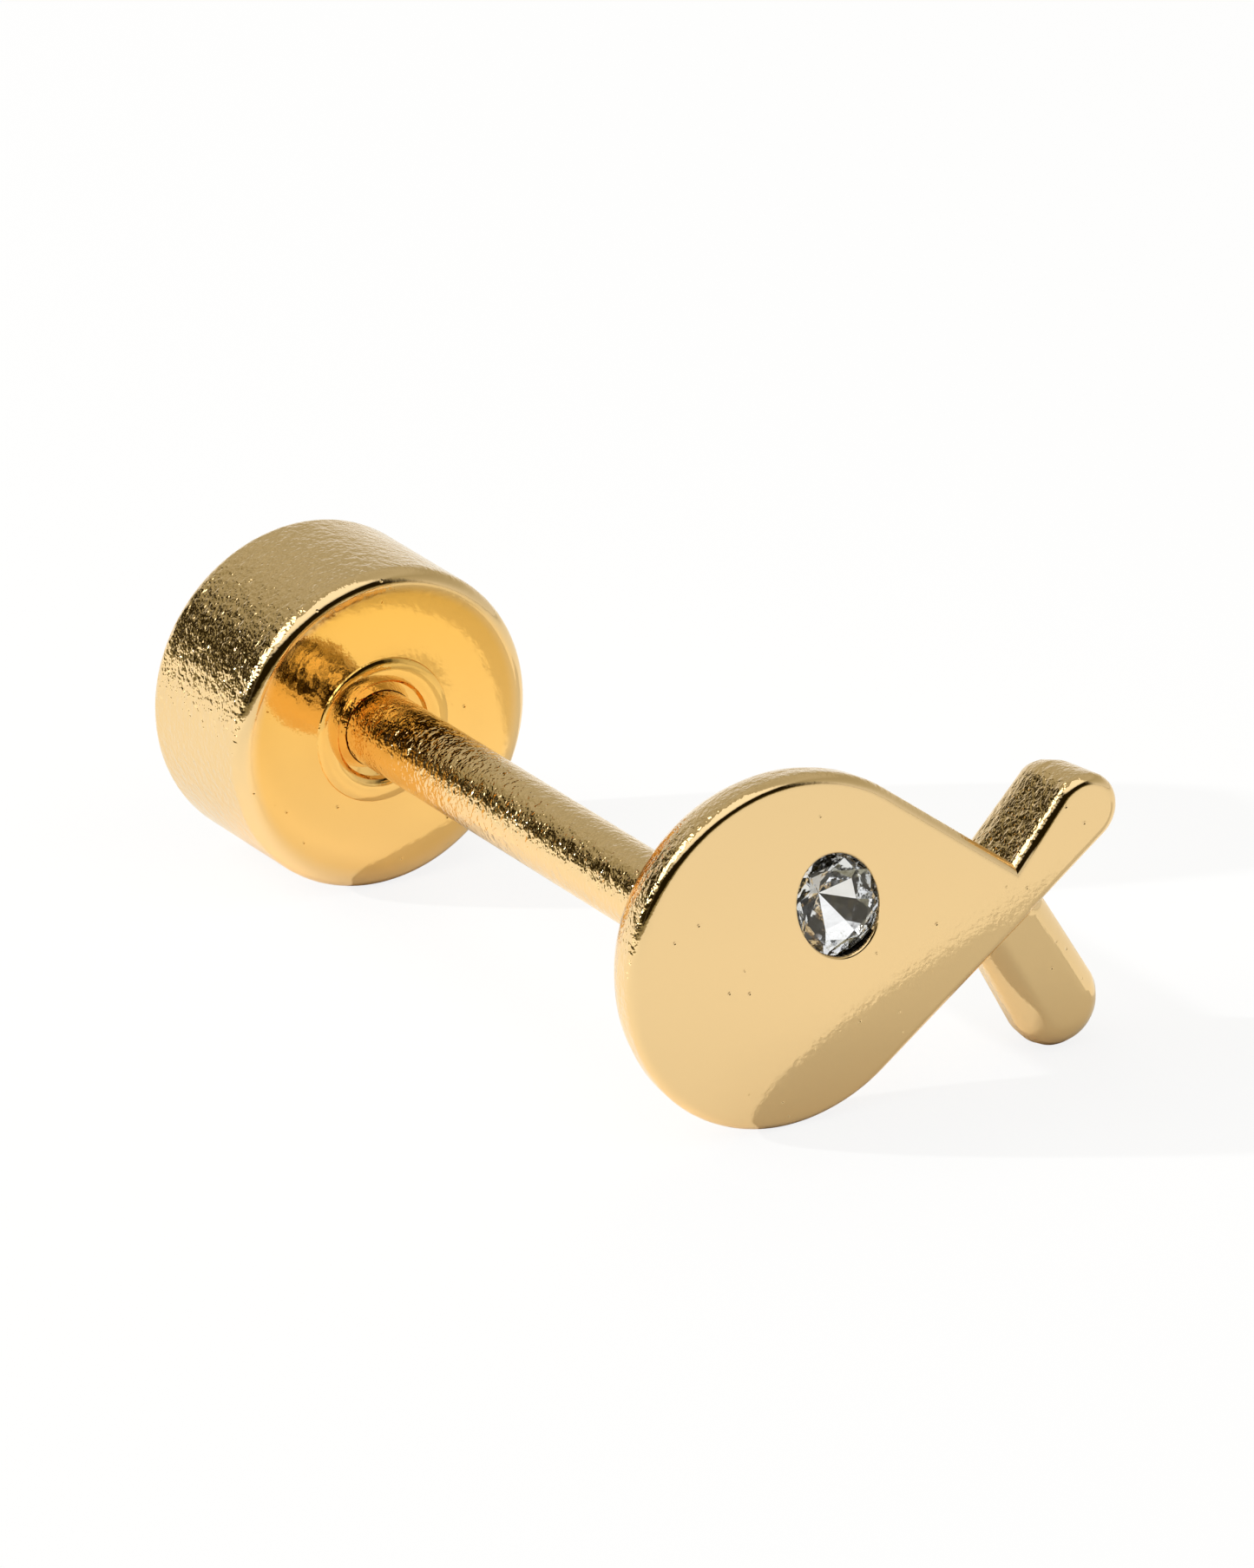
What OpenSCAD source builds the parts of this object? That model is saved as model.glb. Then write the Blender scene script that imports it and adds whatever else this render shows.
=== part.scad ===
// Screw back stud earring: a fish cast in gold with a clear stone for its eye, a plain post soldered
// to its back, and a thick round back that screws onto the post's end.
// The stud lies as it rests unworn: on the fish's belly, its lower tail lobe and the rim of the back.
// X runs from the fish's nose to its tail, Y from its flat face to the screw back, Z is up.

/* [Fish body] */
// Diameter of the round body
body_d = 5.5; // [5:0.1:6.5]
// Thickness of the casting in the middle of the body
body_t = 1.5; // [1.4:0.05:1.8]
// Width of the domed border between the body's side and its flat back
dome_w = 1.6; // [1:0.1:1.8]
// Rounding between the flat face and the side
edge_r = 0.18; // [0.06:0.01:0.25]
// Distance from the body's centre to the neck's centre
neck_x = 3.85; // [3.6:0.05:4.2]
// Diameter of the neck
neck_d = 0.9; // [0.7:0.05:1.1]
// Thickness of the casting at the neck
neck_t = 1.35; // [1.2:0.05:1.5]

/* [Tail lobes] */
// Root of the upper lobe: right of the body's centre, above it, diameter
upper_root = [4.0, 0.07, 0.78]; // [-1:0.01:6]
// Tip of the upper lobe: right of the body's centre, above it, diameter
upper_tip = [5.11, 1.13, 1.13]; // [-1:0.01:6]
// Thickness of the upper lobe
upper_t = 1.6; // [1.2:0.05:1.7]
// Part of the upper lobe's half width that domes over to the back
upper_dome = 0.83; // [0.6:0.01:1]
// Root of the lower lobe: right of the body's centre, above it, diameter
lower_root = [4.14, -0.64, 1.32]; // [-1:0.01:6]
// Tip of the lower lobe: right of the body's centre, diameter. It stands as low as the belly
lower_tip = [4.96, 1.41]; // [0:0.01:6]
// Thickness of the lower lobe
lower_t = 1.35; // [1.1:0.05:1.5]
// How far the lower lobe stands back from the flat face
lower_set_back = 0.27; // [0:0.01:0.3]
// Rounding between the lower lobe's front and its side
lower_edge_r = 0.42; // [0.1:0.01:0.44]

/* [Stone] */
// Diameter of the stone at its girdle
stone_d = 1.7; // [1.4:0.05:1.9]
// Place of the stone: right of the body's centre, above it
stone_at = [0.79, 0.59]; // [-1:0.01:2]
// Diameter of the stone's table
table_d = 1.16; // [0.8:0.02:1.3]
// Angle of the crown's main facets
crown_angle = 27; // [25:1:36]
// Angle of the pavilion's main facets
pavilion_angle = 27; // [25:1:30]
// How much flatter than the crown's main facets the star facets lie
star_less = 13; // [11:1:14]
// How much steeper than the main facets the crown's girdle facets lie
upper_more = 6; // [5:0.5:7]
// How much steeper than the main facets the pavilion's girdle facets lie
lower_more = 1.5; // [1:0.25:2]
// Thickness of the girdle
girdle_t = 0.05; // [0.03:0.01:0.08]
// Depth of the table below the flat face
table_drop = 0.03; // [0.01:0.01:0.06]
// Angle of the cone that the drill leaves at the bottom of the seat
seat_angle = 35; // [33:1:40]
// Gap between the stone and its seat
stone_gap = 0.03; // [0.02:0.01:0.05]
// Opening that is left in the metal rubbed over the stone: width and height
eye_opening = [1.34, 1.72]; // [1.2:0.01:1.8]
// Lean of the opening, to the left at its top
eye_lean = 25; // [0:1:45]

/* [Post] */
// Diameter of the post
post_d = 1.2; // [1:0.05:1.3]
// Length of bare post between the casting and the screw back
post_free = 9.5; // [7:0.05:11]
// Place of the post to the left of the body's centre
post_left = 0.33; // [0:0.01:0.4]
// Width of the solder fillet round the post's foot
solder_w = 0.15; // [0.05:0.01:0.2]
// Length of the threaded end that is inside the screw back
thread_l = 1.9; // [1.5:0.1:2]
// Distance from one thread groove to the next
thread_pitch = 0.3; // [0.2:0.05:0.4]
// Depth of a thread groove
thread_depth = 0.08; // [0.05:0.01:0.1]

/* [Screw back] */
// Diameter of the screw back
back_d = 5.1; // [4.8:0.1:5.4]
// Thickness of the screw back
back_t = 2.7; // [2.5:0.1:3]
// Rounding of both rims
rim_r = 0.25; // [0.15:0.05:0.4]
// Depth of the dish in the face towards the fish
dish = 0.07; // [0:0.01:0.12]
// Diameter of the rounded ring round the hole
ring_d = 2.3; // [1.9:0.05:2.4]
// Height of the ring above the dish
ring_h = 0.06; // [0.02:0.01:0.1]
// Diameter of the hole's mouth
mouth_d = 1.56; // [1.4:0.02:1.7]
// Depth of the countersunk mouth
mouth_depth = 0.13; // [0.1:0.01:0.4]
// Depth of the hole
bore_depth = 2.1; // [2:0.05:2.2]
// Gap between the post and the hole, all round
bore_gap = 0.03; // [0.02:0.01:0.05]

/* [Hidden] */

hull_fn = 48;
turned_fn = 96;
round_steps = 6;
small_steps = 4;
post_chamfer = 0.12;
overlap = 0.4;

body_r = body_d / 2;
back_r = back_d / 2;
post_r = post_d / 2;
bore_r = post_r + bore_gap;
stone_r = stone_d / 2;
table_r = table_d / 2;

// The post's axis is as high above the surface as the screw back's radius, so the post lies level
post_z = back_r - body_r;
lower_tip_z = lower_tip[1] / 2 - body_r;
face_to_back = body_t + post_free;
total_y = face_to_back + back_t;

// Edges of the whole stud, measured from the body's centre and the flat face
left_x = min(-body_r, -post_left - back_r);
right_x = max(upper_tip[0] + upper_tip[2] / 2, lower_tip[0] + lower_tip[1] / 2);
middle = [(left_x + right_x) / 2, total_y / 2, -body_r];

// Heights of the stone's parts behind its table
crown_h = (stone_r - table_r) * tan(crown_angle);
pavilion_h = stone_r * tan(pavilion_angle);
girdle_y = table_drop + crown_h;

// Moves from the body's centre and flat face to the part's origin under the middle of the stud
module in_place() {
  translate(-middle) children();
}

// Turns a shape's own Z to run back along Y
module back_along_y() {
  rotate([-90, 0, 0]) children();
}

// Quarter of an ellipse in small straight steps, from its widest point to its end
function quarter(centre, half_w, half_h, steps) =
  [for (i = [0:steps]) centre + [half_w * cos(90 * i / steps), half_h * sin(90 * i / steps)]];

function reversed(points) = [for (i = [len(points) - 1:-1:0]) points[i]];

// Half section of a cast boss: flat face, rounded edge, then a side that domes over to the back
function boss_section(r, thick, edge, dome) = concat(
  [[0, 0]],
  reversed(quarter([r - edge, edge], edge, -edge, small_steps)),
  quarter([r - dome, edge], dome, thick - edge, round_steps),
  r > dome ? [[0, thick]] : []
);

// Boss with its flat face at Y 0, placed right of and above the body's centre
module boss(x, z, d, thick, dome, edge = edge_r) {
  translate([x, 0, z]) back_along_y()
    rotate_extrude($fn = hull_fn) polygon(boss_section(d / 2, thick, edge, dome));
}

// Body that tapers to the neck
module fish_body() {
  hull() {
    boss(0, 0, body_d, body_t, dome_w);
    boss(neck_x, 0, neck_d, neck_t, neck_d / 2);
  }
}

// Lobe between a root and a tip, both rows of x, z and diameter
module tail_lobe(root, tip, thick, edge, dome_part = 1) {
  hull() for (end = [root, tip])
    boss(end[0], end[1], end[2], thick, dome_part * end[2] / 2, edge);
}

module tail() {
  tail_lobe(upper_root, upper_tip, upper_t, edge_r, upper_dome);
  translate([0, lower_set_back, 0])
    tail_lobe(lower_root, [lower_tip[0], lower_tip_z, lower_tip[1]], lower_t, lower_edge_r);
}

// Half section of the post from inside the casting to its end, with the thread as ring grooves.
// Each groove takes one pitch, and half a pitch of plain post comes before the first
post_end = face_to_back + thread_l;
groove_count = floor(thread_l / thread_pitch) - 1;
function groove(y) = [
  [post_r - thread_depth, y + thread_pitch / 2],
  [post_r, y + thread_pitch]
];
post_section = concat(
  [[0, body_t - overlap], [post_r + solder_w, body_t - overlap], [post_r + solder_w, body_t]],
  [[post_r, body_t + solder_w], [post_r, face_to_back + thread_pitch / 2]],
  [for (i = [0:groove_count - 1]) each groove(face_to_back + thread_pitch * (i + 0.5))],
  [[post_r, post_end - post_chamfer], [post_r - post_chamfer, post_end], [0, post_end]]
);

module post() {
  translate([-post_left, 0, post_z]) back_along_y()
    rotate_extrude($fn = turned_fn) polygon(post_section);
}

// Room for the stone: an opening in the rubbed-over lip, a round seat and a drilled cone
module eye_seat() {
  seat_r = stone_r + stone_gap;
  lip_y = girdle_y - stone_gap;
  seat_h = girdle_t + 2 * stone_gap;
  cone_h = seat_r * tan(seat_angle);
  translate([stone_at[0], 0, stone_at[1]]) back_along_y() {
    translate([0, 0, lip_y]) cylinder(r = seat_r, h = seat_h, $fn = turned_fn);
    translate([0, 0, lip_y + seat_h]) cylinder(r1 = seat_r, r2 = 0, h = cone_h, $fn = turned_fn);
    translate([0, 0, -overlap]) rotate([0, 0, -eye_lean]) linear_extrude(lip_y + overlap + stone_gap)
      scale([eye_opening[0] / 2, eye_opening[1] / 2]) circle(r = 1, $fn = hull_fn);
    translate([0, 0, table_drop - stone_gap])
      cylinder(r1 = table_r + stone_gap, r2 = seat_r, h = crown_h, $fn = turned_fn);
  }
}

module fish_and_post() {
  color("goldenrod") in_place() difference() {
    union() {
      fish_body();
      tail();
      post();
    }
    eye_seat();
  }
}

// Keeps what lies inside a ring of flat facets that lean in at an angle from the girdle plane.
// Each plane passes at the given distance from the axis at the given height
module facets(count, angle, distance, height, phase) {
  big = 4 * stone_r;
  intersection_for(i = [0:count - 1])
    rotate([0, 0, 360 * (i + phase) / count]) translate([distance, 0, height])
      rotate([0, -angle, 0]) translate([-2 * big, -big, -big]) cube([2 * big, 2 * big, 2 * big]);
}

module eye_stone() {
  star_angle = crown_angle - star_less;
  upper_angle = crown_angle + upper_more;
  lower_angle = pavilion_angle + lower_more;
  star_r = table_r * cos(180 / 8);
  color("aliceblue") in_place() translate([stone_at[0], girdle_y, stone_at[1]]) back_along_y()
    intersection() {
      translate([0, 0, -crown_h]) cylinder(r = stone_r, h = crown_h + girdle_t + pavilion_h, $fn = 32);
      facets(8, crown_angle - 90, stone_r, 0, 0.5);
      facets(8, star_angle - 90, star_r, -crown_h, 0);
      facets(16, upper_angle - 90, stone_r, 0, 0.5);
      facets(8, 90 - pavilion_angle, stone_r, girdle_t, 0.5);
      facets(16, 90 - lower_angle, stone_r, girdle_t, 0.5);
    }
}

// Half section of the screw back, its face at 0: dished face, ring, countersunk blind hole, rounded rims
function screw_back_section() = concat(
  [[bore_r, mouth_depth], [mouth_d / 2, dish - ring_h / 2]],
  [for (a = [150:-30:30]) [(mouth_d + ring_d) / 4 + (ring_d - mouth_d) / 4 * cos(a), dish - ring_h * sin(a)]],
  [[ring_d / 2, dish]],
  reversed(quarter([back_r - rim_r, rim_r], rim_r, -rim_r, round_steps)),
  quarter([back_r - rim_r, back_t - rim_r], rim_r, rim_r, round_steps),
  [[0, back_t], [0, bore_depth], [bore_r, bore_depth]]
);

module screw_back() {
  color("gold") in_place() translate([-post_left, face_to_back, post_z]) back_along_y()
    rotate_extrude($fn = turned_fn) polygon(screw_back_section());
}

fish_and_post();
eye_stone();
screw_back();
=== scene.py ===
from math import acos, atan2, cos, pi, radians, sin, tan

import bmesh
import bpy
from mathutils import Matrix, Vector


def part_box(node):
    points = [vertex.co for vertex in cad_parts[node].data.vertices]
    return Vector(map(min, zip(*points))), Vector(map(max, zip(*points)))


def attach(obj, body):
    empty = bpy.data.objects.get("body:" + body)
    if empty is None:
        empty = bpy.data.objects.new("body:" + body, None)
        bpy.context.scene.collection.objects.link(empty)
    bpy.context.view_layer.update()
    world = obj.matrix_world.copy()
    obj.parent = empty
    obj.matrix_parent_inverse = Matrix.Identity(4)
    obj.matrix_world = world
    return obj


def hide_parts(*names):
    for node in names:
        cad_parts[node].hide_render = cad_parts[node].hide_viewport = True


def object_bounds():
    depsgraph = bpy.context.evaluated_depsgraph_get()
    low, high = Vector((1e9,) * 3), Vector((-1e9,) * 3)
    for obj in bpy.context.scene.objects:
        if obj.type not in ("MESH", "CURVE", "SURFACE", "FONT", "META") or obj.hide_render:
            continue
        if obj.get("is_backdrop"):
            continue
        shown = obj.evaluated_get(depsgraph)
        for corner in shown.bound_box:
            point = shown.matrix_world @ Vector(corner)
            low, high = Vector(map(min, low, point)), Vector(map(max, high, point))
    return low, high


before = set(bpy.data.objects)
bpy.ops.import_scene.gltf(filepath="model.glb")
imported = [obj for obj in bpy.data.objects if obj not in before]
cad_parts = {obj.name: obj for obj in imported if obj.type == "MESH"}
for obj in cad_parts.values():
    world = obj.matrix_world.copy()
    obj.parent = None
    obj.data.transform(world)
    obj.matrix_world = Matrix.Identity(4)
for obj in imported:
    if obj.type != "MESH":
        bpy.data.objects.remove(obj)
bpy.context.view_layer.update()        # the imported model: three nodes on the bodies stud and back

# A stud earring lies unworn on a pale table: a cast gold fish with a cut stone for its eye, its post
# and the thick round back that screws on behind. Shapes are made in millimetres and then brought to
# the frame's metres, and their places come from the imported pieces.
perMetre = 1000


def boxInMm(node):
    low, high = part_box(node)
    return low * perMetre, high * perMetre


fishLow, fishHigh = boxInMm("fish_and_post")
stoneLow, stoneHigh = boxInMm("eye_stone")
backLow, backHigh = boxInMm("screw_back")
faceY = fishLow.y                            # the fish's flat polished face
bodyR = (fishHigh.z - fishLow.z) / 2
bodyCentre = Vector((fishLow.x + bodyR, faceY, fishLow.z + bodyR))
backR = (backHigh.x - backLow.x) / 2
postAxis = Vector(((backLow.x + backHigh.x) / 2, 0, (backLow.z + backHigh.z) / 2))
stoneAxis = Vector(((stoneLow.x + stoneHigh.x) / 2, 0, (stoneLow.z + stoneHigh.z) / 2))


# Small helpers for work in object mode and in edit mode
mergeMm = 1e-4                               # points closer than this become one


def pickPiece(piece):
    bpy.ops.object.select_all(action="DESELECT")
    piece.select_set(True)
    bpy.context.view_layer.objects.active = piece


def startEdit(piece):
    pickPiece(piece)
    bpy.ops.object.mode_set(mode="EDIT")
    bpy.ops.mesh.select_mode(type="VERT")


def endEdit():
    bpy.ops.object.mode_set(mode="OBJECT")


def pickPoints(piece, wanted):
    # wanted is a test on a vertex, or the indices of the vertices
    mesh = bmesh.from_edit_mesh(piece.data)
    test = wanted if callable(wanted) else (lambda v, kept=set(wanted): v.index in kept)
    bpy.ops.mesh.select_all(action="DESELECT")
    for v in mesh.verts:
        v.select_set(test(v))
    mesh.select_flush(True)
    bmesh.update_edit_mesh(piece.data)


def pickedPoints(piece):
    return [v.index for v in bmesh.from_edit_mesh(piece.data).verts if v.select]


def addDisc(name, centre, radius, sides):
    # a filled circle that faces the front, with its place in its mesh
    bpy.ops.object.select_all(action="DESELECT")
    bpy.ops.mesh.primitive_circle_add(vertices=sides, radius=radius, fill_type="NGON",
                                      location=centre, rotation=(pi / 2, 0, 0))
    piece = bpy.context.object
    piece.name = name
    piece.data.name = name
    bpy.ops.object.transform_apply(location=True, rotation=True, scale=True)
    return piece


def closeShell(closeness=mergeMm, capEnds=False):
    bpy.ops.mesh.select_all(action="SELECT")
    bpy.ops.mesh.remove_doubles(threshold=closeness)
    if capEnds:
        bpy.ops.mesh.fill_holes(sides=0)
        bpy.ops.mesh.select_all(action="SELECT")
    bpy.ops.mesh.normals_make_consistent(inside=False)


def applyModifier(piece, kind, **settings):
    pickPiece(piece)
    modifier = piece.modifiers.new(kind.lower(), kind)
    for key, value in settings.items():
        setattr(modifier, key, value)
    bpy.ops.object.modifier_apply(modifier=modifier.name)


def combine(piece, tool, how):
    applyModifier(piece, "BOOLEAN", operation=how, solver="EXACT", object=tool)
    bpy.data.objects.remove(tool)


def toMetres(piece):
    pickPiece(piece)
    piece.scale = (1 / perMetre,) * 3
    bpy.ops.object.transform_apply(location=True, rotation=True, scale=True)


def turnsOf(whole, steps, first=0):
    # the angles at the steps of an arc
    return [whole * i / steps for i in range(first, steps + 1)]


# A round piece turned about an axis along Y, from stations of depth and radius
def turnPiece(name, axis, stations, sides):
    depth, radius = stations[0]
    centre = Vector((axis.x, 0, axis.z))
    piece = addDisc(name, centre + Vector((0, depth, 0)), radius, sides)
    startEdit(piece)
    bpy.ops.mesh.select_all(action="SELECT")
    for nextDepth, nextRadius in stations[1:]:
        bpy.ops.mesh.extrude_region_move(
            TRANSFORM_OT_translate={"value": (0, nextDepth - depth, 0)})
        grow = nextRadius / radius
        bpy.ops.transform.resize(value=(grow, 1, grow), center_override=centre)
        depth, radius = nextDepth, nextRadius
    closeShell()
    endEdit()
    return piece


def flat(v):
    return Vector((v.x, 0, v.z))


# One end of a cast boss: a round section with a rounded front edge and a back that domes over, at its
# place right of and above the body's centre
def bossEnd(right, above, radius, thick, dome):
    return {"centre": bodyCentre + Vector((right, 0, above)), "radius": radius,
            "thick": thick, "dome": dome}


def ringOf(end, edge, tilt):
    # radius and depth where the surface looks tilt degrees away from the side, from front to back
    lean = radians(tilt)
    if tilt <= 0:
        return end["radius"] - edge + edge * cos(lean), edge + edge * sin(lean)
    rise = end["thick"] - edge
    turn = atan2(rise * sin(lean), end["dome"] * cos(lean))
    return end["radius"] - end["dome"] + end["dome"] * cos(turn), edge + rise * sin(turn)


# A boss that runs from one round end to another, as if a cord were drawn tight round both. The tilts are
# the stations of its rings, a point may lie off its ring by the slack, and the least radius keeps the last
# ring open
bossValues = {"tilts": [-90, -68, -45, -22, 0, 12, 24, 36, 46, 56, 65, 73, 80, 85, 88],
              "slack": 0.01, "leastRadius": 0.01}


def castBoss(name, start, finish, edge, setBack, sides):
    reach = finish["centre"] - start["centre"]
    tangent = acos((start["radius"] - finish["radius"]) / reach.length)
    ends = [start, finish]
    tilts, least = bossValues["tilts"], bossValues["leastRadius"]
    now = [ringOf(end, edge, tilts[0]) for end in ends]
    offset = Vector((0, setBack, 0))
    piece = addDisc(name, start["centre"] + offset, now[0][0], sides)
    startEdit(piece)

    # the side that faces the other end is shrunk or grown to its size and pulled out to it
    pickPoints(piece, lambda v: (v.co - start["centre"] - offset).angle(reach) < tangent)
    size = now[1][0] / now[0][0]
    bpy.ops.transform.resize(value=(size, 1, size), center_override=start["centre"] + offset)
    bpy.ops.transform.translate(value=reach)
    bpy.ops.mesh.select_all(action="SELECT")

    for tilt in tilts[1:]:
        then = [ringOf(end, edge, tilt) for end in ends]
        bpy.ops.mesh.extrude_region_move(
            TRANSFORM_OT_translate={"value": (0, then[0][1] - now[0][1], 0)})
        ring = pickedPoints(piece)
        mesh = bmesh.from_edit_mesh(piece.data)
        mesh.verts.ensure_lookup_table()
        limit = now[1][0] + bossValues["slack"]
        far = [i for i in ring if flat(mesh.verts[i].co - finish["centre"]).length < limit]
        near = [i for i in ring if i not in set(far)]
        for end, points, old, new in zip(ends, (near, far), now, then):
            pickPoints(piece, points)
            size = max(new[0], least) / max(old[0], least)
            bpy.ops.transform.resize(value=(size, 1, size), center_override=end["centre"])
        slip = (then[1][1] - now[1][1]) - (then[0][1] - now[0][1])
        bpy.ops.transform.translate(value=(0, slip, 0))
        pickPoints(piece, ring)
        now = then
    closeShell()
    endEdit()
    return piece


print("frame read:", sorted(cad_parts))

# Fish casting, all in mm. Each end is given by its place to the right and above, its radius, its
# thickness and how far its back domes over
fishSizes = {
    "body": {"start": bossEnd(0, 0, bodyR, 1.5, 1.6), "finish": bossEnd(3.85, 0, 0.45, 1.35, 0.45),
             "edge": 0.18, "setBack": 0, "sides": 256},
    "upperLobe": {"start": bossEnd(4.0, 0.07, 0.39, 1.6, 0.324),
                  "finish": bossEnd(5.11, 1.13, 0.565, 1.6, 0.469),
                  "edge": 0.18, "setBack": 0, "sides": 96},
    "lowerLobe": {"start": bossEnd(4.14, -0.64, 0.66, 1.35, 0.66),
                  "finish": bossEnd(4.96, 0.705 - bodyR, 0.705, 1.35, 0.705),
                  "edge": 0.42, "setBack": 0.27, "sides": 96},
}

bosses = [castBoss(name, **sizes) for name, sizes in fishSizes.items()]
print("body and tail lobes cast")

# Post with its solder fillet, and the thread on the end that the back hides
postSizes = {"radius": 0.6, "casting": 1.5, "buried": 0.4, "solder": 0.15, "solderSteps": 5,
             "endChamfer": 0.12, "threadPitch": 0.3, "threadDepth": 0.08, "threadTurns": 5,
             "threadSteps": 48, "sides": 96}


def makePost(values):
    footY = faceY + values["casting"]
    solder, radius = values["solder"], values["radius"]
    stations = [(footY - values["buried"], radius + solder), (footY, radius + solder)]
    for turn in turnsOf(pi / 2, values["solderSteps"], first=1):
        stations.append((footY + solder * (1 - cos(turn)), radius + solder * (1 - sin(turn))))
    chamfer = values["endChamfer"]
    stations += [(fishHigh.y - chamfer, radius), (fishHigh.y, radius - chamfer)]
    piece = turnPiece("post", postAxis, stations, values["sides"])
    combine(piece, threadCutter(values), "DIFFERENCE")
    return piece


def threadCutter(values):
    # a three sided bar wound round the post as a screw, which leaves the thread's groove
    pitch, depth = values["threadPitch"], values["threadDepth"]
    length = pitch * values["threadTurns"]
    start = Vector((postAxis.x, fishHigh.y - length - pitch / 2, postAxis.z))
    bpy.ops.object.select_all(action="DESELECT")
    bpy.ops.mesh.primitive_circle_add(vertices=3, radius=depth, fill_type="NOTHING", location=start)
    cutter = bpy.context.object
    startEdit(cutter)
    bpy.ops.mesh.select_all(action="SELECT")
    bpy.ops.transform.rotate(value=pi / 2, orient_axis="Z", center_override=start)
    bpy.ops.transform.resize(value=(1, pitch / 2 / depth, 1), center_override=start)
    bpy.ops.transform.translate(value=(values["radius"], 0, 0))
    endEdit()
    steps = values["threadSteps"]
    applyModifier(cutter, "SCREW", axis="Y", angle=2 * pi, screw_offset=pitch, steps=steps,
                  render_steps=steps, iterations=values["threadTurns"], use_merge_vertices=False)
    startEdit(cutter)
    closeShell(capEnds=True)
    endEdit()
    return cutter


# Seat of the eye: an oval mouth in the metal that is rubbed over a round stone
eyeSizes = {"openingWidth": 1.34, "openingHeight": 1.72, "lean": 25, "lipRound": 0.05, "lipSteps": 5,
            "mouthFront": 0.4, "mouthDepth": 0.3, "gap": 0.03, "seatAngle": 35, "sides": 96}
# table, girdle and facet angles of the stone, its turn in the seat, how far its point is off the middle
# and how near points count as on a cut or as one
stoneSizes = {"tableR": 0.58, "girdle": 0.05, "crownAngle": 27, "starLess": 13, "upperMore": 6,
              "pavilionAngle": 27, "lowerMore": 1.5, "mainFacets": 8, "girdleSides": 32, "turn": -9,
              "pointRadius": 0.1, "pointShift": (-0.12, 0.1), "cutMm": 1e-6, "mergeMm": 1e-5}
stoneR = (stoneHigh.x - stoneLow.x) / 2
crownH = (stoneR - stoneSizes["tableR"]) * tan(radians(stoneSizes["crownAngle"]))
girdleY = stoneLow.y + crownH


def mouthCutter(values):
    # the mouth's wall, with its edge rounded over as a burnisher leaves it
    lip, middle = values["lipRound"], values["openingHeight"] / 2
    stations = [(faceY - values["mouthFront"], middle + lip)]
    for turn in turnsOf(pi / 2, values["lipSteps"]):
        stations.append((faceY + lip * (1 - cos(turn)), middle + lip * (1 - sin(turn))))
    stations.append((faceY + values["mouthDepth"], middle))
    cutter = turnPiece("mouth", stoneAxis, stations, values["sides"])
    startEdit(cutter)
    bpy.ops.mesh.select_all(action="SELECT")
    squeeze = values["openingWidth"] / values["openingHeight"]
    bpy.ops.transform.resize(value=(squeeze, 1, 1), center_override=stoneAxis)
    bpy.ops.transform.rotate(value=radians(values["lean"]), orient_axis="Y", center_override=stoneAxis)
    endEdit()
    return cutter


def seatCutter(values):
    # a crown's cone, a round wall and the cone that the drill left
    gap = values["gap"]
    bottomY = girdleY + stoneSizes["girdle"] + gap
    coneH = stoneR * tan(radians(values["seatAngle"]))
    stations = [(stoneLow.y - gap, stoneSizes["tableR"] + gap), (girdleY - gap, stoneR + gap),
                (bottomY, stoneR + gap), (bottomY + coneH, gap)]
    return turnPiece("seat", stoneAxis, stations, values["sides"])


fish = bosses[0]
for boss in bosses[1:] + [makePost(postSizes)]:
    combine(fish, boss, "UNION")
combine(fish, mouthCutter(eyeSizes), "DIFFERENCE")
combine(fish, seatCutter(eyeSizes), "DIFFERENCE")
fish.name = "FishAndPost"
fish.data.name = "FishAndPost"
print("post soldered on and the eye's seat cut")


# Clear stone cut as a round brilliant: each facet is one cut across a round blank. Its flat back
# comes to a point a little off the middle, as on a hand-finished stone
def cutStone(values):
    crown, pavilion = values["crownAngle"], values["pavilionAngle"]
    backGirdleY = girdleY + values["girdle"]
    stone = turnPiece("EyeStone", stoneAxis, [(stoneLow.y, stoneR), (stoneHigh.y, stoneR)],
                      values["girdleSides"])
    mains, halves = values["mainFacets"], 2 * values["mainFacets"]
    starR = values["tableR"] * cos(pi / mains)
    # how many facets, their angle, how far out and how deep they start, half a facet round or not,
    # on the front (-1) or the back (1)
    cuts = [(mains, crown, stoneR, girdleY, 0.5, -1),
            (mains, crown - values["starLess"], starR, stoneLow.y, 0, -1),
            (halves, crown + values["upperMore"], stoneR, girdleY, 0.5, -1),
            (mains, pavilion, stoneR, backGirdleY, 0.5, 1),
            (halves, pavilion + values["lowerMore"], stoneR, backGirdleY, 0.5, 1)]
    startEdit(stone)
    for count, angle, distance, depth, phase, side in cuts:
        for i in range(count):
            turn = 2 * pi * (i + phase) / count + radians(values["turn"])
            out = Vector((cos(turn), 0, sin(turn)))
            slope = radians(angle)
            bpy.ops.mesh.select_all(action="SELECT")
            bpy.ops.mesh.bisect(plane_co=stoneAxis + out * distance + Vector((0, depth, 0)),
                                plane_no=out * sin(slope) + Vector((0, side * cos(slope), 0)),
                                use_fill=True, clear_outer=True, threshold=values["cutMm"])
    closeShell(closeness=values["mergeMm"])
    bpy.ops.mesh.quads_convert_to_tris()
    rightShift, upShift = values["pointShift"]
    pickPoints(stone, lambda v: v.co.y > backGirdleY and
               flat(v.co - stoneAxis).length < values["pointRadius"])
    bpy.ops.transform.translate(value=(rightShift, 0, upShift))
    endEdit()
    return stone


stone = cutStone(stoneSizes)
print("eye stone cut:", len(stone.data.polygons), "facets")

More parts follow.
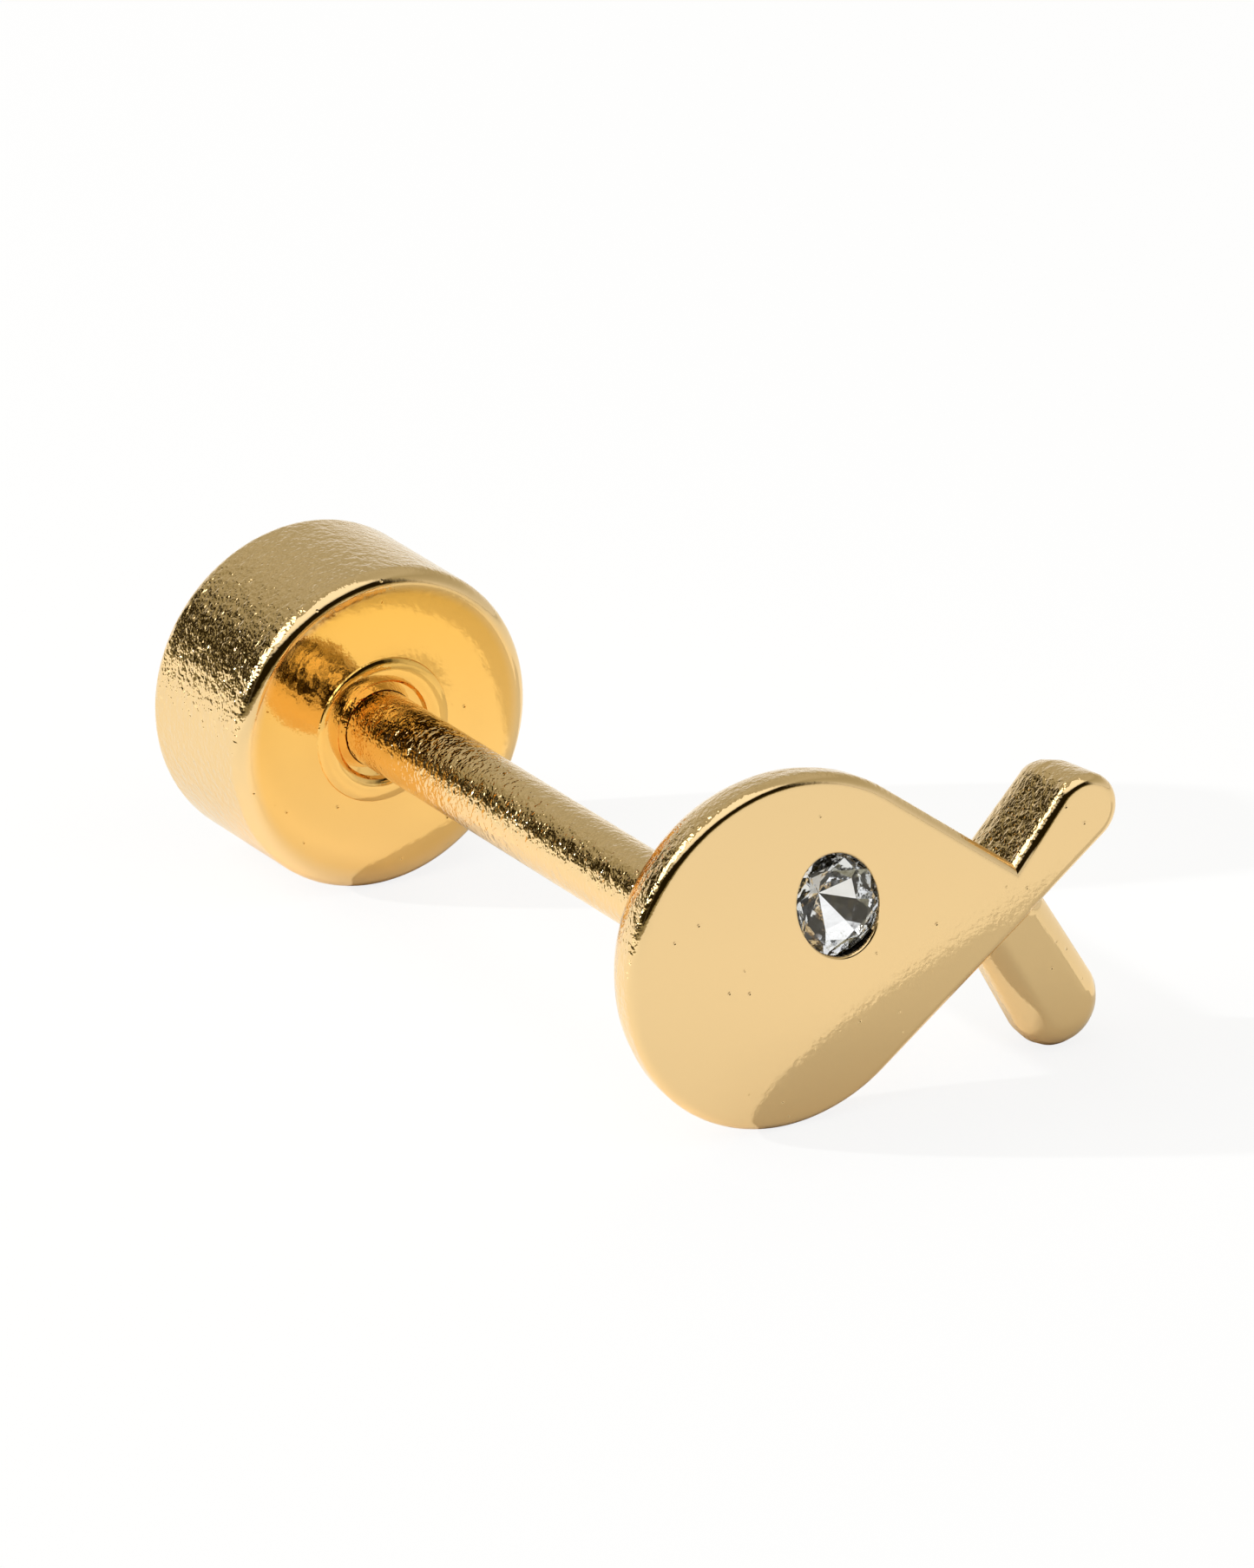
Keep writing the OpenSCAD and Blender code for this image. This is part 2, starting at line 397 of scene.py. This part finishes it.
# Screw back: a turned disc with rounded rims, a dished face, a rounded ring and a blind hole
backSizes = {"rim": 0.25, "rimSteps": 8, "dish": 0.07, "dishSteps": 10, "ringOuter": 1.15,
             "ringHeight": 0.06, "ringSteps": 8, "mouthR": 0.78, "mouthRound": 0.03, "mouthDepth": 0.13,
             "boreR": 0.612, "boreDepth": 2.1, "sides": 160}


def makeBack(values):
    frontY, outerY = backLow.y, backHigh.y
    rim, dish, ringOuter, mouthR = values["rim"], values["dish"], values["ringOuter"], values["mouthR"]
    stations = [(frontY + values["boreDepth"], values["boreR"]),
                (frontY + values["mouthDepth"], values["boreR"]),
                (frontY + dish + values["mouthRound"], mouthR - values["mouthRound"])]
    ringMid, ringHalf = (mouthR + ringOuter) / 2, (ringOuter - mouthR) / 2
    for turn in turnsOf(pi, values["ringSteps"]):
        stations.append((frontY + dish - values["ringHeight"] * sin(turn), ringMid - ringHalf * cos(turn)))
    dishWidth = backR - rim - ringOuter
    for i in range(1, values["dishSteps"]):
        part = i / values["dishSteps"]
        stations.append((frontY + dish * (1 + cos(pi * part)) / 2, ringOuter + dishWidth * part))
    for turn in turnsOf(pi / 2, values["rimSteps"]):
        stations.append((frontY + rim * (1 - cos(turn)), backR - rim + rim * sin(turn)))
    for turn in turnsOf(pi / 2, values["rimSteps"]):
        stations.append((outerY - rim + rim * sin(turn), backR - rim + rim * cos(turn)))
    return turnPiece("ScrewBack", postAxis, stations, values["sides"])


back = makeBack(backSizes)
print("screw back turned")

# round surfaces are shaded smooth and large flat ones stay flat
shadeValues = {"smoothAngle": 28, "areaWeight": 80}
for piece in (fish, back):
    pickPiece(piece)
    bpy.ops.object.shade_smooth_by_angle(angle=radians(shadeValues["smoothAngle"]))
    applyModifier(piece, "WEIGHTED_NORMAL", mode="FACE_AREA", weight=shadeValues["areaWeight"],
                  keep_sharp=True)
for piece in (fish, stone, back):
    toMetres(piece)


# Materials
def toLinear(code):
    parts = [int(code[i:i + 2], 16) / 255 for i in (0, 2, 4)]
    return tuple(c / 12.92 if c <= 0.04045 else ((c + 0.055) / 1.055) ** 2.4 for c in parts) + (1,)


def addNode(tree, kind, settings=None, inputs=None):
    node = tree.nodes.new(kind)
    for key, value in (settings or {}).items():
        setattr(node, key, value)
    for key, value in (inputs or {}).items():
        if isinstance(value, bpy.types.NodeSocket):
            tree.links.new(value, node.inputs[key])
        else:
            node.inputs[key].default_value = value
    return node


def newMaterial(name):
    material = bpy.data.materials.new(name)
    material.use_nodes = True
    tree = material.node_tree
    return material, tree, tree.nodes["Principled BSDF"]


def newMetal(name, values):
    material, tree, surface = newMaterial(name)
    surface.inputs["Base Color"].default_value = toLinear(values["colour"])
    surface.inputs["Metallic"].default_value = 1.0
    surface.inputs["Roughness"].default_value = values["roughness"]
    return material, tree, surface


def perSize(sizeMm):
    return perMetre / sizeMm     # texture scale that gives features of this size


goldValues = {"colour": "F1D19B", "roughness": 0.06, "grainMm": 0.14, "grainHeightMm": 0.034,
              "grainDetail": 2.0, "grainRoughness": 0.6,
              "faceGrain": 0.06, "sideFlatness": 0.25, "faceFlatness": 0.75,
              "waveMm": 0.9, "waveHeightMm": 0.004, "waveDetail": 1.0,
              "pitSpacingMm": 0.32, "pitMm": 0.035, "pitDepthMm": 0.012, "pitShare": 0.6}
# painted reflection: where the two pieces face each other gold mirrors gold, so the back's front face is
# painted a deeper gold tone, deepest high up
paintedReflectionValues = {"topColour": "F4BE56", "lowColour": "F0C882", "edgeMm": 2.3, "softMm": 0.15}


# Yellow gold, cast or turned and then polished: a warm mirror, a little wavy, with a fine grain left
# on its sides and a few pits. The grain is drawn coarser than the real one, so that it shows
def polishedGold(name, values, paintedReflection=None):
    material, tree, surface = newMetal(name, values)
    place = addNode(tree, "ShaderNodeTexCoord").outputs["Object"]
    normal = addNode(tree, "ShaderNodeNewGeometry").outputs["Normal"]
    looks = addNode(tree, "ShaderNodeSeparateXYZ", inputs={"Vector": normal}).outputs["Y"]
    flatness = addNode(tree, "ShaderNodeMath", {"operation": "ABSOLUTE"}, {0: looks}).outputs[0]
    grainShare = addNode(tree, "ShaderNodeMapRange", {"interpolation_type": "SMOOTHSTEP"}, {
        "Value": flatness, "From Min": values["sideFlatness"], "From Max": values["faceFlatness"],
        "To Min": 1.0, "To Max": values["faceGrain"]}).outputs[0]
    grain = addNode(tree, "ShaderNodeTexNoise", inputs={
        "Vector": place, "Scale": perSize(values["grainMm"]), "Detail": values["grainDetail"],
        "Roughness": values["grainRoughness"]})
    grainHeight = addNode(tree, "ShaderNodeMath", {"operation": "MULTIPLY"}, {
        0: grain.outputs["Fac"], 1: grainShare}).outputs[0]
    wave = addNode(tree, "ShaderNodeTexNoise", inputs={
        "Vector": place, "Scale": perSize(values["waveMm"]), "Detail": values["waveDetail"]})
    cells = addNode(tree, "ShaderNodeTexVoronoi", inputs={
        "Vector": place, "Scale": perSize(values["pitSpacingMm"])})
    pit = addNode(tree, "ShaderNodeMapRange", {"interpolation_type": "SMOOTHSTEP"}, {
        "Value": cells.outputs["Distance"], "From Min": 0.0,
        "From Max": values["pitMm"] / values["pitSpacingMm"], "To Min": -1.0, "To Max": 0.0}).outputs[0]
    chosen = addNode(tree, "ShaderNodeMath", {"operation": "LESS_THAN"}, {
        0: addNode(tree, "ShaderNodeSeparateColor", inputs={"Color": cells.outputs["Color"]}).outputs[0],
        1: values["pitShare"]}).outputs[0]
    pits = addNode(tree, "ShaderNodeMath", {"operation": "MULTIPLY"}, {0: pit, 1: chosen}).outputs[0]
    bump = None
    for height, depth in ((wave.outputs["Fac"], "waveHeightMm"), (pits, "pitDepthMm"),
                          (grainHeight, "grainHeightMm")):
        below = {"Normal": bump.outputs["Normal"]} if bump else {}
        bump = addNode(tree, "ShaderNodeBump", inputs={
            "Height": height, "Distance": values[depth] / perMetre, **below})
    # the back's front face gets the painted reflection of gold in gold
    if paintedReflection:
        tree.links.new(paintedReflectionColour(tree, place, values, paintedReflection), surface.inputs["Base Color"])
    tree.links.new(bump.outputs["Normal"], surface.inputs["Normal"])
    return material


def paintedReflectionColour(tree, place, values, paintedReflection):
    # painted reflection of gold in gold: a deeper gold painted on the front face of the back, inside its
    # rounded rim, deeper towards the top
    centre = Vector((postAxis.x, backLow.y, postAxis.z)) / perMetre
    out = addNode(tree, "ShaderNodeVectorMath", {"operation": "DISTANCE"}, {
        0: place, 1: centre}).outputs["Value"]
    inside = addNode(tree, "ShaderNodeMapRange", {"interpolation_type": "SMOOTHSTEP"}, {
        "Value": out, "From Min": (paintedReflection["edgeMm"] - paintedReflection["softMm"]) / perMetre,
        "From Max": (paintedReflection["edgeMm"] + paintedReflection["softMm"]) / perMetre,
        "To Min": 1.0, "To Max": 0.0}).outputs[0]
    height = addNode(tree, "ShaderNodeSeparateXYZ", inputs={"Vector": place}).outputs["Z"]
    rise = addNode(tree, "ShaderNodeMapRange", inputs={
        "Value": height, "From Min": backLow.z / perMetre, "From Max": backHigh.z / perMetre}).outputs[0]
    tone = addNode(tree, "ShaderNodeMix", {"data_type": "RGBA"}, {
        0: rise, 6: toLinear(paintedReflection["lowColour"]), 7: toLinear(paintedReflection["topColour"])}).outputs[2]
    return addNode(tree, "ShaderNodeMix", {"data_type": "RGBA"}, {
        0: inside, 6: toLinear(values["colour"]), 7: tone}).outputs[2]


def grainyMetal(name, values):
    material, tree, surface = newMetal(name, values)
    place = addNode(tree, "ShaderNodeTexCoord").outputs["Object"]
    grain = addNode(tree, "ShaderNodeTexNoise", inputs={
        "Vector": place, "Scale": perSize(values["grainMm"])})
    bump = addNode(tree, "ShaderNodeBump", inputs={
        "Height": grain.outputs["Fac"], "Distance": values["grainHeightMm"] / perMetre})
    tree.links.new(bump.outputs["Normal"], surface.inputs["Normal"])
    return material


# Clear crystal glass, cut and polished: no colour of its own, bright and black by turns
crystalValues = {"colour": "FFFFFF", "roughness": 0.0, "ior": 1.55}


def clearCrystal(values):
    material, tree, surface = newMaterial("CutCrystal")
    surface.inputs["Base Color"].default_value = toLinear(values["colour"])
    surface.inputs["Transmission Weight"].default_value = 1.0
    surface.inputs["Roughness"].default_value = values["roughness"]
    surface.inputs["IOR"].default_value = values["ior"]
    return material


# Silver foil on the back facets of the crystal, as such stones have: a mirror seen through the glass.
# It lies on the facets that look back by more than the least given here
foilValues = {"colour": "F4F5F6", "roughness": 0.03, "grainMm": 0.12, "grainHeightMm": 0.0015,
              "leastBackward": 0.2}

# Inside of the drilled seat: rough, unpolished gold painted dark as the shade behind the stone. It
# starts below the lip, reaches down to the deepest cut and lies within a thin skin of the seat's wall
paintedShadeSeatValues = {"colour": "2E2A22", "roughness": 0.45, "grainMm": 0.05, "grainHeightMm": 0.004,
                 "skinMm": 0.01, "lipMm": 0.05, "deepestMm": 1.3}

gold = polishedGold("PolishedYellowGold", goldValues)
# the back's gold carries the painted reflection on its front face
turnedGoldWithPaintedReflection = polishedGold("TurnedYellowGoldPaintedReflection", goldValues, paintedReflectionValues)
crystal = clearCrystal(crystalValues)
for piece, material in ((fish, gold), (back, turnedGoldWithPaintedReflection), (stone, crystal)):
    piece.data.materials.clear()
    piece.data.materials.append(material)

stone.data.materials.append(grainyMetal("SilverFoil", foilValues))
for face in stone.data.polygons:
    face.material_index = 1 if face.normal.y > foilValues["leastBackward"] else 0

# light goes to and fro between the foil and the facets more often than Blender allows for by itself
stoneBounces = 24
bpy.context.scene.cycles.glossy_bounces = stoneBounces
bpy.context.scene.cycles.transmission_bounces = stoneBounces
bpy.context.scene.cycles.max_bounces = stoneBounces

# the seat's faces, painted dark as shade, are those behind the lip and inside its round wall
fish.data.materials.append(grainyMetal("DrilledSeatPaintedShade", paintedShadeSeatValues))
seatR = stoneR + eyeSizes["gap"] + paintedShadeSeatValues["skinMm"]
for face in fish.data.polygons:
    middle = face.center * perMetre
    deep = stoneLow.y + paintedShadeSeatValues["lipMm"] < middle.y < faceY + paintedShadeSeatValues["deepestMm"]
    if deep and flat(middle - stoneAxis).length < seatR:
        face.material_index = 1

for piece, body, node, slot in ((fish, "stud", "fish_and_post", "polished_gold"),
                                (stone, "stud", "eye_stone", "clear_stone"),
                                (back, "back", "screw_back", "polished_gold")):
    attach(piece, body)
    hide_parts(node)
print("materials on")

# Stage: pale table, soft studio light and the camera
stageValues = {"tableWidth": 3.0, "tableColour": "F2F2F2", "paperRoughness": 0.9, "paperGloss": 0.1,
               "whiterToCamera": 0.86}
# a small key lamp low at the back left, a softbox above it, and the glow of gold on gold between the
# fish and the back, which is never mirrored
lampValues = {"KeyLight": {"azimuth": -62, "elevation": 20, "distance": 0.5, "size": (0.012, 0.012),
                           "watts": 2.55},
              "SideSoftbox": {"azimuth": -76, "elevation": 46, "distance": 0.5, "size": (0.36, 0.28),
                              "watts": 0.8},
              "GoldGlow": {"azimuth": 60, "elevation": 84, "distance": 0.012, "size": (0.008, 0.008),
                           "watts": 0.0003, "colour": "FFF0D8", "mirrored": False}}

bpy.ops.mesh.primitive_plane_add(size=stageValues["tableWidth"], location=(0, 0, 0))
table = bpy.context.object
table.name = "Table"
paper, paperTree, paperSurface = newMaterial("MattWhitePaper")
paperSurface.inputs["Base Color"].default_value = toLinear(stageValues["tableColour"])
paperSurface.inputs["Roughness"].default_value = stageValues["paperRoughness"]
paperSurface.inputs["Specular IOR Level"].default_value = stageValues["paperGloss"]
# the camera sees the paper almost white, and the gold mirrors it as it is lit
cameraSees = addNode(paperTree, "ShaderNodeLightPath").outputs["Is Camera Ray"]
share = addNode(paperTree, "ShaderNodeMath", {"operation": "MULTIPLY"}, {
    0: cameraSees, 1: stageValues["whiterToCamera"]}).outputs[0]
white = addNode(paperTree, "ShaderNodeEmission", inputs={"Color": (1, 1, 1, 1)})
paperMix = addNode(paperTree, "ShaderNodeMixShader", inputs={
    "Fac": share, 1: paperSurface.outputs[0], 2: white.outputs[0]})
paperTree.links.new(paperMix.outputs[0], paperTree.nodes["Material Output"].inputs["Surface"])
table.data.materials.append(paper)
table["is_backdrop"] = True


def directionOf(azimuth, elevation):
    # azimuth 0 is straight behind the fish along Y, and positive to the right
    a, e = radians(azimuth), radians(elevation)
    return Vector((sin(a) * cos(e), cos(a) * cos(e), sin(e)))


def addLamp(name, azimuth, elevation, distance, size, watts, colour="FFFFFF", mirrored=True):
    light = bpy.data.lights.new(name, "AREA")
    light.color = toLinear(colour)[:3]
    light.shape = "ELLIPSE" if size[0] == size[1] else "RECTANGLE"
    light.size, light.size_y = size
    light.energy = watts
    lamp = bpy.data.objects.new(name, light)
    bpy.context.scene.collection.objects.link(lamp)
    toLamp = directionOf(azimuth, elevation)
    lamp.location = toLamp * distance
    lamp.rotation_mode = "QUATERNION"
    lamp.rotation_quaternion = toLamp.to_track_quat("Z", "Y")
    lamp.visible_camera = False
    lamp.visible_glossy = mirrored


for name, values in lampValues.items():
    addLamp(name, **values)

# The room round the table: its brightness by height, from the horizon (0) to straight above (1), with
# two zones of their own at the back left and on the camera's side, both dark low down. The darker the
# light, the less green and blue it has. The camera itself sees plain white
roomValues = {
    "strength": 0.75, "greenPower": 0.1, "bluePower": 0.6,
    "steps": [(0, 1.05), (0.14, 0.95), (0.32, 0.72), (0.55, 0.6), (0.72, 0.75), (1, 0.65)],
    "zones": [
        {"azimuth": -65, "inner": 42, "outer": 62,
         "steps": [(0, 0.5), (0.1, 0.36), (0.2, 0.03), (0.4, 0.03), (0.48, 0.42), (0.62, 0.55),
                   (0.85, 0.6), (1, 0.6)]},
        {"azimuth": -165, "inner": 44, "outer": 58,
         "steps": [(0, 0.6), (0.1, 0.3), (0.16, 0.02), (0.56, 0.02), (0.64, 1.2), (0.75, 1.6)]},
    ],
}
world = bpy.data.worlds.new("Studio")
bpy.context.scene.world = world
world.use_nodes = True
sky = world.node_tree
sky.nodes.clear()
direction = addNode(sky, "ShaderNodeTexCoord").outputs["Generated"]
height = addNode(sky, "ShaderNodeSeparateXYZ", inputs={"Vector": direction}).outputs["Z"]
level = addNode(sky, "ShaderNodeVectorMath", {"operation": "NORMALIZE"}, {
    0: addNode(sky, "ShaderNodeVectorMath", {"operation": "MULTIPLY"}, {
        0: direction, 1: (1, 1, 0)}).outputs[0]}).outputs[0]


def addRoomRamp(steps):
    ramp = addNode(sky, "ShaderNodeValToRGB", inputs={"Fac": height})
    while len(ramp.color_ramp.elements) < len(steps):
        ramp.color_ramp.elements.new(0.5)
    for element, (position, light) in zip(ramp.color_ramp.elements, steps):
        warmth = min(light, 1)
        element.position = position
        green = light * warmth ** roomValues["greenPower"]
        blue = light * warmth ** roomValues["bluePower"]
        element.color = (light, green, blue, 1)
    return ramp.outputs["Color"]


room = addRoomRamp(roomValues["steps"])
for zone in roomValues["zones"]:
    towards = addNode(sky, "ShaderNodeVectorMath", {"operation": "DOT_PRODUCT"}, {
        0: level, 1: directionOf(zone["azimuth"], 0)}).outputs["Value"]
    inside = addNode(sky, "ShaderNodeMapRange", {"interpolation_type": "SMOOTHSTEP"}, {
        "Value": towards, "From Min": cos(radians(zone["outer"])),
        "From Max": cos(radians(zone["inner"]))}).outputs[0]
    room = addNode(sky, "ShaderNodeMix", {"data_type": "RGBA"}, {
        0: inside, 6: room, 7: addRoomRamp(zone["steps"])}).outputs[2]
seen = addNode(sky, "ShaderNodeLightPath").outputs["Is Camera Ray"]
studio = addNode(sky, "ShaderNodeBackground", inputs={
    "Color": room, "Strength": roomValues["strength"]})
plain = addNode(sky, "ShaderNodeBackground", inputs={"Color": (1, 1, 1, 1)})
mix = addNode(sky, "ShaderNodeMixShader", inputs={"Fac": seen, 1: studio.outputs[0], 2: plain.outputs[0]})
addNode(sky, "ShaderNodeOutputWorld", inputs={"Surface": mix.outputs[0]})

cameraValues = {"azimuth": -32.7, "elevation": 22.7, "distanceMm": 220, "frameWidthMm": 18.7,
                "rightOfBody": 1.36, "imageWidth": 1445, "imageHeight": 1807, "sensorMm": 36,
                "nearest": 0.01, "farthest": 10}


def addCamera(values):
    data = bpy.data.cameras.new("Camera")
    camera = bpy.data.objects.new("Camera", data)
    bpy.context.scene.collection.objects.link(camera)
    a, e = radians(values["azimuth"]), radians(values["elevation"])
    toCamera = Vector((sin(a) * cos(e), -cos(a) * cos(e), sin(e)))
    low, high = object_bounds()
    middle = (low + high) / 2
    target = Vector((bodyCentre.x + values["rightOfBody"], faceY, middle.z * perMetre)) / perMetre
    camera.location = target + toCamera * values["distanceMm"] / perMetre
    camera.rotation_mode = "QUATERNION"
    camera.rotation_quaternion = (camera.location - middle).to_track_quat("Z", "Y")
    distance = (camera.location - middle).length
    longSide = values["frameWidthMm"] / perMetre * values["imageHeight"] / values["imageWidth"]
    data.sensor_width = values["sensorMm"]
    data.lens = data.sensor_width * distance / longSide
    data.clip_start = values["nearest"]
    data.clip_end = values["farthest"]
    bpy.context.scene.camera = camera


addCamera(cameraValues)
bpy.context.scene.view_settings.view_transform = "Standard"
print("stage lit")
